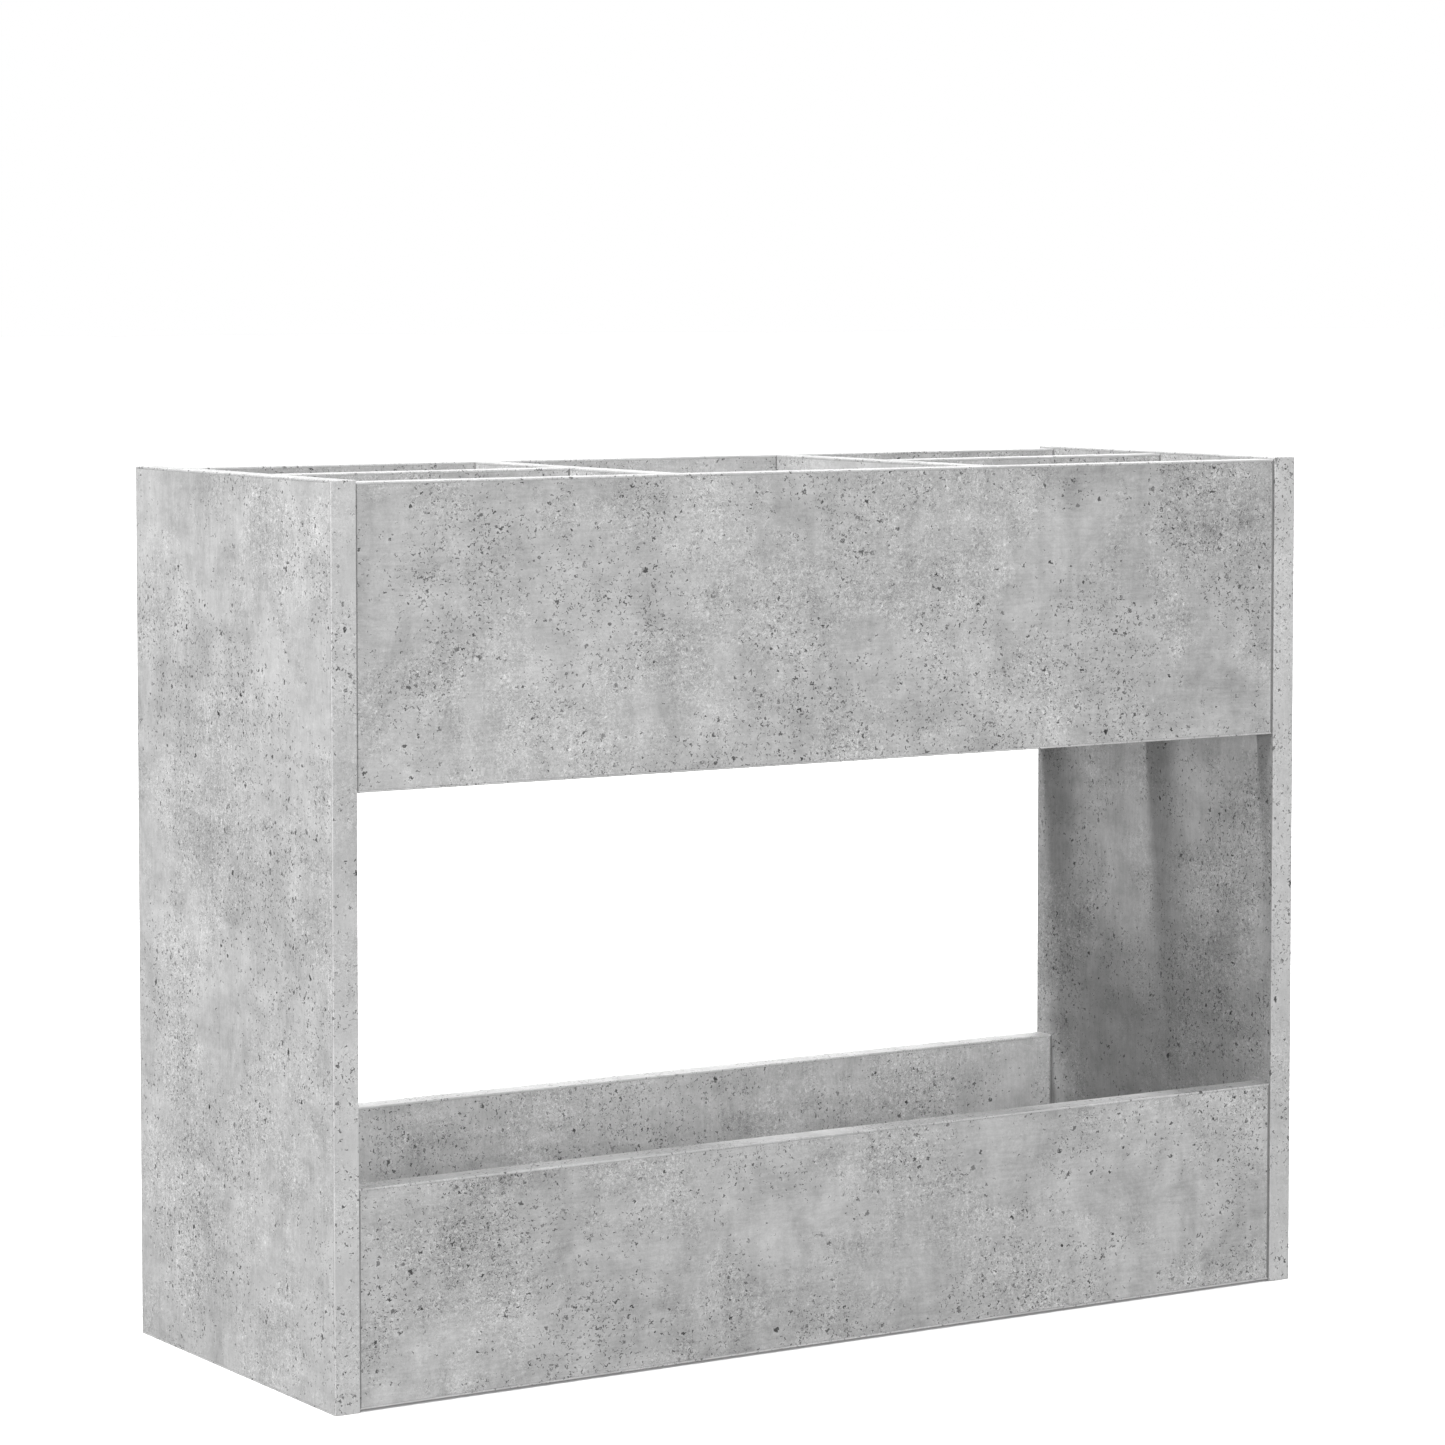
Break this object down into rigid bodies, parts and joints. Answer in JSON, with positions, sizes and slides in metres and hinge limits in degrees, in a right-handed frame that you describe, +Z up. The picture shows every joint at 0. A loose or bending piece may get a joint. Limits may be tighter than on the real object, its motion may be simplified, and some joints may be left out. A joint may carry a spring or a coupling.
{
  "type": "umbrella stand",
  "caption": "Free-standing board umbrella stand: an open divided frame at the top, a see-through middle and a low tray at the floor.",
  "frame": {"origin": "on the floor, under the middle of the stand's footprint", "axes": "+X along the stand's length towards its right end as seen from the front, -Y out of its front, +Z up"},
  "size_m": [0.783, 0.287, 0.6],
  "materials": {
    "concrete_laminate": "matt concrete-look melamine on chipboard, with matching edge band",
    "zinc_cam": "raw zinc die casting",
    "plated_steel": "bright zinc plate",
    "beech_dowel": "bare beech"
  },
  "bodies": {
    "root": {"base_panel": "concrete_laminate", "base_panel_dowel_left_back": "beech_dowel", "base_panel_dowel_left_front": "beech_dowel", "base_panel_dowel_right_back": "beech_dowel", "base_panel_dowel_right_front": "beech_dowel", "bay_divider_left": "concrete_laminate", "bay_divider_left_dowel_inner_bottom": "beech_dowel", "bay_divider_left_dowel_inner_top": "beech_dowel", "bay_divider_left_dowel_outer_bottom": "beech_dowel", "bay_divider_left_dowel_outer_top": "beech_dowel", "bay_divider_right": "concrete_laminate", "bay_divider_right_dowel_inner_bottom": "beech_dowel", "bay_divider_right_dowel_inner_top": "beech_dowel", "bay_divider_right_dowel_outer_bottom": "beech_dowel", "bay_divider_right_dowel_outer_top": "beech_dowel", "cross_divider_left": "concrete_laminate", "cross_divider_left_dowel_back_bottom": "beech_dowel", "cross_divider_left_dowel_back_top": "beech_dowel", "cross_divider_left_dowel_front_bottom": "beech_dowel", "cross_divider_left_dowel_front_top": "beech_dowel", "cross_divider_right": "concrete_laminate", "cross_divider_right_dowel_back_bottom": "beech_dowel", "cross_divider_right_dowel_back_top": "beech_dowel", "cross_divider_right_dowel_front_bottom": "beech_dowel", "cross_divider_right_dowel_front_top": "beech_dowel", "end_panel_left": "concrete_laminate", "end_panel_right": "concrete_laminate", "lower_rail_back": "concrete_laminate", "lower_rail_back_cam_bolt_left": "plated_steel", "lower_rail_back_cam_bolt_right": "plated_steel", "lower_rail_back_cam_lock_left": "zinc_cam", "lower_rail_back_cam_lock_right": "zinc_cam", "lower_rail_back_dowel_left": "beech_dowel", "lower_rail_back_dowel_right": "beech_dowel", "lower_rail_front": "concrete_laminate", "lower_rail_front_cam_bolt_left": "plated_steel", "lower_rail_front_cam_bolt_right": "plated_steel", "lower_rail_front_cam_lock_left": "zinc_cam", "lower_rail_front_cam_lock_right": "zinc_cam", "lower_rail_front_dowel_left": "beech_dowel", "lower_rail_front_dowel_right": "beech_dowel", "upper_rail_back": "concrete_laminate", "upper_rail_back_cam_bolt_left": "plated_steel", "upper_rail_back_cam_bolt_right": "plated_steel", "upper_rail_back_cam_lock_left": "zinc_cam", "upper_rail_back_cam_lock_right": "zinc_cam", "upper_rail_back_dowel_left_bottom": "beech_dowel", "upper_rail_back_dowel_left_top": "beech_dowel", "upper_rail_back_dowel_right_bottom": "beech_dowel", "upper_rail_back_dowel_right_top": "beech_dowel", "upper_rail_front": "concrete_laminate", "upper_rail_front_cam_bolt_left": "plated_steel", "upper_rail_front_cam_bolt_right": "plated_steel", "upper_rail_front_cam_lock_left": "zinc_cam", "upper_rail_front_cam_lock_right": "zinc_cam", "upper_rail_front_dowel_left_bottom": "beech_dowel", "upper_rail_front_dowel_left_top": "beech_dowel", "upper_rail_front_dowel_right_bottom": "beech_dowel", "upper_rail_front_dowel_right_top": "beech_dowel"}
  },
  "joints": []
}
